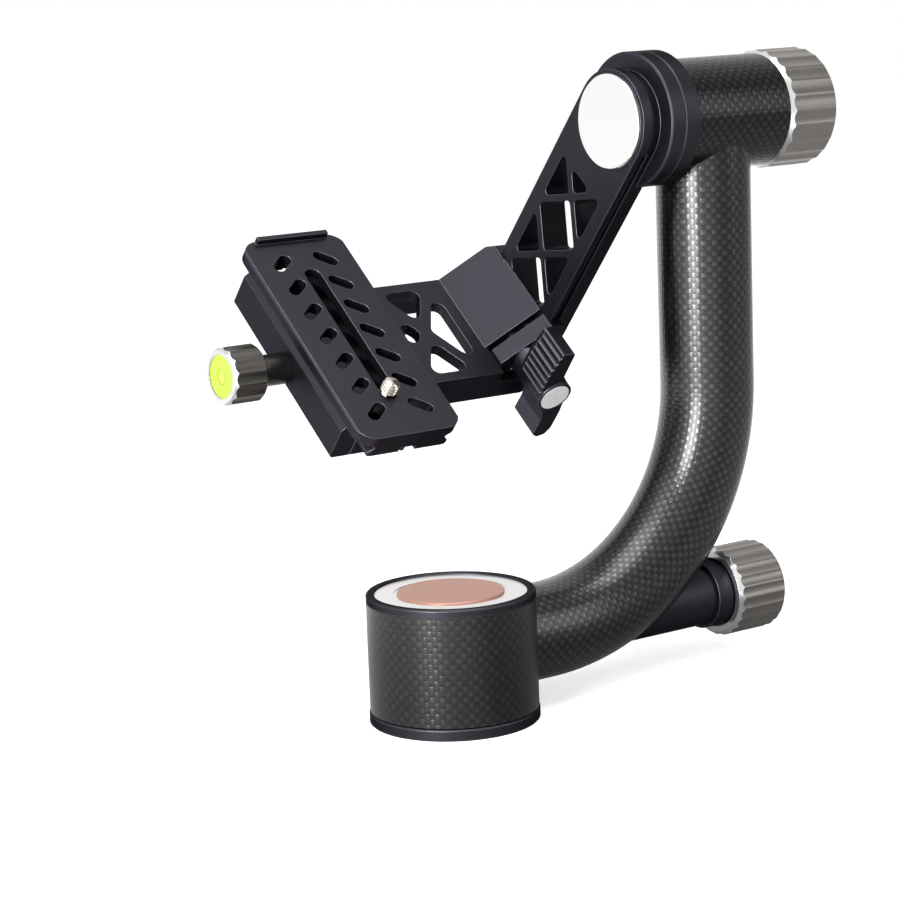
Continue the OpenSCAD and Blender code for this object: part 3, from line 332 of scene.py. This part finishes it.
def tube_path(graph):
    """Along and around coordinates of the bent arm, with the direction that its straight tows run in."""
    x, y, z = graph.split(graph.place)
    out_x = graph.math("SUBTRACT", x, BEND_START_X)
    down = graph.math("SUBTRACT", BEND_Z, z)
    turn = graph.math("ARCTAN2", out_x, down)
    turn = graph.math("MINIMUM", graph.math("MAXIMUM", turn, 0.0), FULL_TURN / 4)
    sine = graph.math("SINE", turn)
    cosine = graph.math("COSINE", turn)
    along = graph.math("MULTIPLY_ADD", turn, BEND_R, graph.math("MINIMUM", out_x, 0.0))
    along = graph.math("SUBTRACT", along, graph.math("MINIMUM", down, 0.0))
    out = graph.math("MULTIPLY_ADD", out_x, sine, graph.math("MULTIPLY", down, cosine))
    angle = graph.math("ARCTAN2", y, graph.math("SUBTRACT", out, BEND_R))
    return along, angle, graph.vector(cosine, 0.0, sine)


def upright_path(graph):
    """The same for the base's upright sleeve."""
    x, y, z = graph.split(graph.place)
    return z, graph.math("ARCTAN2", y, x), (0.0, 0.0, 1.0)


def level_path(graph):
    """The same for the tilt housing's level sleeve."""
    x, y, z = graph.split(graph.place)
    return x, graph.math("ARCTAN2", y, graph.math("SUBTRACT", z, TILT_Z)), (1.0, 0.0, 0.0)


def carbon(name, path, radius, tone, coat=1.0, coat_roughness=LACQUER_ROUGHNESS):
    """Lacquered plain weave: tows along the tube and round it, each on top in every other cell."""
    graph = Graph(name)
    along, angle, run = path(graph)
    cells = 2 * round(math.pi * radius / TOW)
    across = graph.math("MULTIPLY", angle, cells / FULL_TURN)
    length = graph.math("DIVIDE", along, TOW)
    cell_a = graph.math("FLOOR", length)
    cell_b = graph.math("FLOOR", across)
    round_tow = graph.math("FLOORED_MODULO", graph.math("ADD", cell_a, cell_b), 2.0)

    def swell(place, power):
        wave = graph.math("SINE", graph.math("MULTIPLY", graph.math("FRACT", place), math.pi))
        return graph.math("POWER", wave, power)

    straight_height = graph.math("MULTIPLY", swell(length, ALONG_SWELL), swell(across, ACROSS_SWELL))
    round_height = graph.math("MULTIPLY", swell(length, ACROSS_SWELL), swell(across, ALONG_SWELL))
    height = graph.mix_value(round_tow, straight_height, round_height)
    white = graph.node("ShaderNodeTexWhiteNoise", noise_dimensions="2D")
    graph.feed(white.inputs["Vector"], graph.vector(cell_a, cell_b, 0.0))
    # tone makes one piece's carbon lighter or darker than the others: painted light and shade
    lightness = graph.math("MULTIPLY_ADD", white.outputs["Value"],
                           CROSSING_SPREAD * tone, CROSSING_LEAST * tone)
    # Darker towards the edges and ends of each tow: painted shade in the weave's valleys
    valley_shade = graph.math("MULTIPLY_ADD", height, 1 - VALLEY_SHADE_LEVEL, VALLEY_SHADE_LEVEL)
    # Tows round the tube pale, tows along it dark: painted light and shade
    tint = graph.mix(round_tow, SHADED_TOW_TINT, LIT_TOW_TINT)
    to_world = graph.node("ShaderNodeVectorTransform", convert_from="OBJECT", convert_to="WORLD")
    straight = graph.filled(to_world, run)
    round_run = graph.filled(graph.node("ShaderNodeVectorMath", operation="CROSS_PRODUCT"),
                             graph.surface("Normal"), straight)
    return graph.set(base_color=graph.scale(tint, graph.math("MULTIPLY", lightness, valley_shade)),
                     metallic=METALLIC, roughness=0.21, specular_tint=grey(0.6),
                     anisotropic=0.8, tangent=graph.mix(round_tow, round_run, straight),
                     normal=graph.bump(height, WEAVE_DEPTH),
                     coat_weight=coat, coat_roughness=coat_roughness, coat_ior=LACQUER_IOR,
                     coat_normal=graph.bump(height, LACQUER_DEPTH))


# Metals


def anodised(name, color, roughness, edge=0.4 * MM):
    """Bead-blasted and anodised metal, lighter along its softened edges as a painted highlight with a little
    wear.
    """
    graph = Graph(name)
    soft = graph.bevel(edge)
    bend = graph.node("ShaderNodeVectorMath", operation="DOT_PRODUCT")
    graph.filled(bend, soft, graph.surface("Normal"))
    # Lighter colour along the edges: a painted highlight, with a little wear
    edge_highlight = graph.math("SUBTRACT", 1.0, bend.outputs["Value"])
    edge_highlight = graph.math("MULTIPLY", edge_highlight, EDGE_SHARPNESS, clamp=True)
    shade = graph.math("MULTIPLY_ADD", edge_highlight, EDGE_HIGHLIGHT_GAIN, graph.around(1.0, 0.16, 9 * MM, 3.0))
    grain = graph.noise(0.12 * MM, 1.0)
    return graph.set(base_color=graph.scale(color, shade), metallic=METALLIC, specular_tint=grey(0.3),
                     roughness=graph.around(roughness, 0.08, 2.5 * MM),
                     normal=graph.bump(grain, 0.004 * MM, soft))


def turned(name, color, roughness):
    """Metal turned on a lathe: fine rings about the upright axis."""
    graph = Graph(name)
    x, y, z = graph.split(graph.place)
    rings = graph.noise(0.12 * MM, 0.0, graph.vector(graph.reach(x, y), 0.0, 0.0))
    return graph.set(base_color=(*color, 1.0), metallic=1.0, roughness=graph.around(roughness, 0.08, 3 * MM),
                     normal=graph.bump(rings, 0.0015 * MM, graph.bevel(0.25 * MM)))


def fluted(name, color, centre, radius, hub_x=None):
    """Knob metal with fine lines along its flutes, polished where it faces its near end."""
    graph = Graph(name)
    x, y, z = graph.split(graph.place)
    up = graph.math("SUBTRACT", z, centre.z)
    side = graph.math("SUBTRACT", y, centre.y)
    to_object = graph.node("ShaderNodeVectorTransform", vector_type="NORMAL",
                           convert_from="WORLD", convert_to="OBJECT")
    facing = graph.split(graph.filled(to_object, graph.surface("True Normal")))[0]
    polished = graph.math("LESS_THAN", facing, BEVEL_FACING)
    angle = graph.math("MULTIPLY", graph.math("ARCTAN2", side, up), radius)
    stretched = graph.vector(angle, graph.math("MULTIPLY", x, LINE_STRETCH), 0.0)
    lines = graph.noise(LINE_W, 1.0, stretched)
    tone = graph.around(1.0, 0.2, 6 * MM, 3.0)
    if hub_x is not None:
        on_hub = graph.math("GREATER_THAN", x, hub_x)
        tone = graph.math("MULTIPLY", tone, graph.math("MULTIPLY_ADD", on_hub, HUB_DARKER, 1.0))
    brushed = graph.math("MULTIPLY_ADD", lines, BRUSHED_SPREAD, BRUSHED_ROUGHNESS)
    return graph.set(base_color=graph.mix(polished, graph.scale(color, tone), POLISHED_BEVEL),
                     metallic=METALLIC, roughness=graph.mix_value(polished, brushed, BEVEL_ROUGHNESS),
                     normal=graph.bump(lines, 0.003 * MM, graph.bevel(0.3 * MM)))


def knob_material(name, node, color, fluted_length=None):
    """A knob's metal. Past its fluted length, where that is given, it has a darker hub."""
    low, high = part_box(node)
    hub_x = None if fluted_length is None else low.x + fluted_length
    return fluted(name, color, (low + high) / 2, (high.z - low.z) / 2, hub_x)


def mirror(name):
    """Polished metal with a trace of haze."""
    graph = Graph(name)
    return graph.set(base_color=grey(MIRROR_LEVEL), metallic=1.0,
                     roughness=graph.around(0.05, 0.02, 4 * MM), normal=graph.bevel(0.3 * MM))


def copper(name):
    """Painted copper-coloured disc with a fine sand texture."""
    graph = Graph(name)
    sand = graph.noise(0.5 * MM, 3.0)
    return graph.set(base_color=graph.mix(sand, DARK_COPPER, PALE_COPPER), metallic=0.45, roughness=0.42,
                     normal=graph.bump(sand, 0.02 * MM))


def plain(name, color, roughness, metallic=0.0):
    """Small and hidden pieces: an even colour with a little variation."""
    graph = Graph(name)
    return graph.set(base_color=graph.scale(color, graph.around(1.0, 0.2, 2 * MM)), metallic=metallic,
                     roughness=graph.around(roughness, 0.1, 1 * MM))


def fluid(name, color):
    """The level's bright fluid, with a faint painted glow that keeps it bright."""
    graph = Graph(name)
    darker = tuple(FLUID_DARKER * part for part in color[:3]) + (1.0,)
    shade = graph.mix(graph.noise(3 * MM), color, darker)
    # A faint emission: painted glow
    return graph.set(base_color=shade, roughness=0.12, specular_ior_level=0.3,
                     emission_color=shade, emission_strength=0.05)


def dress_frame():
    """Gives every piece of the frame its material: by its own name, or else by its slot."""
    by_slot = {
        "black_metal": anodised("black_anodised", BLACK_COLOR, 0.42),
        "grey_metal": anodised("grey_anodised", CLAMP_KNOB_COLOR, 0.3),
        "silver_metal": turned("silver_turned", SILVER_COLOR, 0.3),
        "steel": plain("ground_steel", STEEL_COLOR, 0.3, 1.0),
        "brass": plain("turned_brass", BRASS_COLOR, 0.3, 1.0),
        "polished": mirror("mirror_polish"),
        "screw_metal": plain("nickel", NICKEL_COLOR, 0.25, 1.0),
        "black_steel": plain("black_oxide", OXIDE_COLOR, 0.4, 0.9),
        "brake_lining": plain("lining", LINING_COLOR, 0.8),
        "level_fluid": fluid("level_fluid", FLUID_COLOR),
        "level_bubble": fluid("level_bubble", BUBBLE_COLOR),
        "copper_metal": copper("copper_sand"),
        # Carbon is lighter on the arm (1.4) than on the housing (0.9) and base (0.75): painted light and
        # shade
        "carbon": carbon("carbon_arm", tube_path, ARM_R, 1.4),
    }
    by_node = {
        # The clamp's 1 mm edge rounds its edges and widens their painted highlight
        "clamp_base": anodised("clamp_anodised", BLACK_COLOR, 0.36, 1.0 * MM),
        # Lighter black for the T knob: painted highlight
        "t_knob": anodised("t_knob_anodised", T_KNOB_LIT_BLACK, 0.34, 0.3 * MM),
        "t_cap": plain("cap_silver", CAP_COLOR, 0.35, 0.4),
        # Darker copies of the arm's carbon on the base and housing: painted shade
        "base_skin": carbon("carbon_base", upright_path, BASE_R, 0.75, 1.0, 0.33),
        "housing_skin": carbon("carbon_housing", level_path, HOUSING_R, 0.9, 0.5),
        "pan_knob": knob_material("pan_knob_metal", "pan_knob", KNOB_COLOR),
        "tilt_knob": knob_material("tilt_knob_metal", "tilt_knob", KNOB_COLOR),
        "clamp_knob": knob_material("clamp_knob_metal", "clamp_knob", CLAMP_KNOB_COLOR, CLAMP_KNOB_L),
    }
    slots = {part["node"]: part["material_slot"] for part in frame["record"]["subparts"]}
    for name, node in NODES.items():
        material = by_node.get(name) or by_slot[slots[name]]
        node.data.materials.clear()
        node.data.materials.append(material)


# Pieces that are finer than the frame's solids

HANGING = Matrix.Translation((0, 0, TILT_Z)) @ Matrix.Rotation(REST_TILT, 4, "X")


def hanging(x, v, s):
    """A place in the leg's own frame: along the tilt axis, towards the lens, and down the leg."""
    return HANGING @ Vector((x, -v, -s))


def add_mesh(name, points, faces, material, body):
    """A smooth mesh piece that rides on a body."""
    mesh = bpy.data.meshes.new(name)
    mesh.from_pydata(points, [], faces)
    mesh.validate()
    mesh.polygons.foreach_set("use_smooth", [True] * len(mesh.polygons))
    piece = bpy.data.objects.new(name, mesh)
    bpy.context.scene.collection.objects.link(piece)
    piece.data.materials.append(material)
    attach(piece, body)
    return piece


def lathe(name, profile, centre, axis, material, body, steps=64, thread=None, caps=True):
    """Turns a profile of (distance along the axis, radius) points about an axis through centre."""
    axis = Vector(axis).normalized()
    side = axis.orthogonal().normalized()
    other = axis.cross(side)
    points = []
    for along, radius in profile:
        for step in range(steps):
            angle = FULL_TURN * step / steps
            reach = radius if thread is None else thread(along, angle, radius)
            points.append(centre + axis * along + reach * (math.cos(angle) * side + math.sin(angle) * other))
    faces = []
    for row in range(len(profile) - 1):
        for step in range(steps):
            after = (step + 1) % steps
            faces.append((row * steps + step, row * steps + after,
                          (row + 1) * steps + after, (row + 1) * steps + step))
    last = (len(profile) - 1) * steps
    if caps:
        faces.append(tuple(reversed(range(steps))))
        faces.append(tuple(range(last, last + steps)))
    return add_mesh(name, points, faces, material, body)


def make_camera_screw(material):
    """The camera screw with a cut 1/4 inch thread, 20 turns to the inch, in place of the frame's."""
    length = SCREW_HEAD_END - SCREW_TOP
    head_l = SCREW_HEAD_END - SCREW_HEAD_START
    thread_start = SCREW_HEAD_END - SCREW_SHANK_END
    edge_r = SCREW_HEAD_R - SCREW_HEAD_EDGE

    def groove(along, angle, radius):
        if along < SCREW_HEAD_START - SCREW_SHANK_END + head_l:
            return radius
        turn = (along / THREAD_PITCH - angle / FULL_TURN) % 1.0
        depth = min(1.0, THREAD_FLANK * abs(turn - 0.5))
        tip = max(0.0, min(1.0, (length - along) / TIP_L))
        return radius - THREAD_CUT * (1 - depth) - (1 - tip) * TIP_DROP

    profile = [(0.0, edge_r), (SCREW_HEAD_EDGE, SCREW_HEAD_R), (head_l - SCREW_HEAD_EDGE, SCREW_HEAD_R),
               (head_l, edge_r), (head_l, SCREW_SHANK_R), (thread_start - THREAD_RUNOUT, SCREW_SHANK_R)]
    for row in range(THREAD_ROWS + 1):
        profile.append((thread_start + (length - thread_start) * row / THREAD_ROWS, THREAD_R))
    axis = HANGING.to_3x3() @ Vector((0, 0, 1))
    centre = hanging(CAMERA_SCREW_X, CAMERA_SCREW_V, SCREW_HEAD_END)
    piece = lathe("camera_screw_thread", profile, centre, axis, material, "screw",
                  THREAD_STEPS, groove)
    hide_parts("camera_screw")


def make_level(ring_paint):
    """The thin ring that the level's bubble is read against."""
    low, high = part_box("level_vial")
    start = Vector((low.x, (low.y + high.y) / 2, (low.z + high.z) / 2))
    turns = [FULL_TURN * side / RING_SIDES for side in range(RING_SIDES + 1)]
    ring = [(RING_WIRE * math.sin(turn), RING_R + RING_WIRE * math.cos(turn)) for turn in turns]
    lathe("level_ring", ring, start, (-1, 0, 0), ring_paint, "clamp_lock", caps=False)


# Floor, light and camera


def floor_paint():
    """A pale floor, white to the camera. Metal sees it darker in the flag and near the base."""
    graph = Graph("floor_paint")
    mirrored = graph.seen_in_metal()
    x, y, z = graph.split(graph.place)
    reach = graph.math("MAXIMUM", graph.reach(x, y), MM)
    flag = graph.studio_shade(graph.math("DIVIDE", x, reach), graph.math("DIVIDE", y, reach))
    near = graph.ramp(reach, NEAR_FLOOR_R, FAR_FLOOR_R, NEAR_FLOOR_LEVEL, 1.0)
    shade = graph.math("MULTIPLY", flag, near)
    seen = graph.math("MAXIMUM", graph.seen_by("Camera"), graph.math("MULTIPLY", mirrored, shade))
    tone = graph.mix(graph.noise(FLOOR_PATCH), grey(FLOOR_TONE), grey(FLOOR_PATCH_TONE * FLOOR_TONE))
    return graph.set(base_color=graph.scale(tone, graph.mix_value(mirrored, 1.0, shade)),
                     roughness=FLOOR_ROUGHNESS, specular_ior_level=0.0, emission_color=grey(1.0),
                     emission_strength=graph.math("MULTIPLY", seen, FLOOR_WHITE))


def make_floor():
    """The floor that the base stands on."""
    bpy.ops.mesh.primitive_plane_add(size=FLOOR_SIZE, location=(0, 0, 0))
    floor = bpy.context.object
    floor.name = "floor"
    floor.data.materials.append(floor_paint())


def make_world():
    """Plain light from all round, white to the camera. Metal sees it white too, outside the black flag."""
    world = bpy.data.worlds.new("studio")
    world.use_nodes = True
    bpy.context.scene.world = world
    nodes = Nodes(world.node_tree)
    background = nodes.tree.nodes["Background"]
    x, y, z = nodes.split(nodes.node("ShaderNodeTexCoord").outputs["Generated"])
    level = nodes.mix_value(nodes.seen_in_metal(), WORLD_LEVEL, nodes.studio_shade(x, y))
    nodes.feed(background.inputs["Strength"], nodes.math("MAXIMUM", nodes.seen_by("Camera"), level))
    background.inputs["Color"].default_value = grey(1.0)


def compass(azimuth, elevation):
    """The direction from the object to a place at these angles."""
    level = math.cos(elevation)
    return Vector((math.sin(azimuth) * level, -math.cos(azimuth) * level, math.sin(elevation)))


def make_camera():
    """The photograph's camera."""
    data = bpy.data.cameras.new("photo_camera")
    data.sensor_width = SENSOR_MM
    data.lens = FOCAL_PIXELS * SENSOR_MM / IMAGE_PIXELS
    camera = bpy.data.objects.new("photo_camera", data)
    bpy.context.scene.collection.objects.link(camera)
    bpy.context.scene.camera = camera
    back = compass(VIEW_AZIMUTH, VIEW_ELEVATION)
    level_right = Vector((RIGHT_X, RIGHT_Y, 0))
    level_up = back.cross(level_right)
    right = math.cos(VIEW_ROLL) * level_right + math.sin(VIEW_ROLL) * level_up
    up = -math.sin(VIEW_ROLL) * level_right + math.cos(VIEW_ROLL) * level_up
    place = level_right * AIM_RIGHT + Vector((0, 0, AIM_UP)) + back * VIEW_DISTANCE
    turn = Matrix((right, up, back)).transposed()
    camera.matrix_world = Matrix.Translation(place) @ turn.to_4x4()


def softbox(name, left, up, distance, width, height, power):
    """A rectangular lamp at an angle to the left of and above the camera, aimed at the object."""
    outward = compass(VIEW_AZIMUTH - math.radians(left), math.radians(up))
    data = bpy.data.lights.new(name, "AREA")
    data.shape = "RECTANGLE"
    data.size = width
    data.size_y = height
    data.energy = power
    lamp = bpy.data.objects.new(name, data)
    bpy.context.scene.collection.objects.link(lamp)
    lamp.location = LAMP_AIM + outward * distance
    lamp.rotation_euler = outward.to_track_quat("Z", "Y").to_euler()


dress_frame()
make_camera_screw(plain("thread_nickel", NICKEL_COLOR, 0.22, 1.0))
make_level(plain("ring_paint", RING_COLOR, 0.4))
make_floor()
make_world()
make_camera()
for lamp_name, settings in LAMPS.items():
    softbox(lamp_name, *settings)
bpy.context.scene.view_settings.view_transform = "Standard"
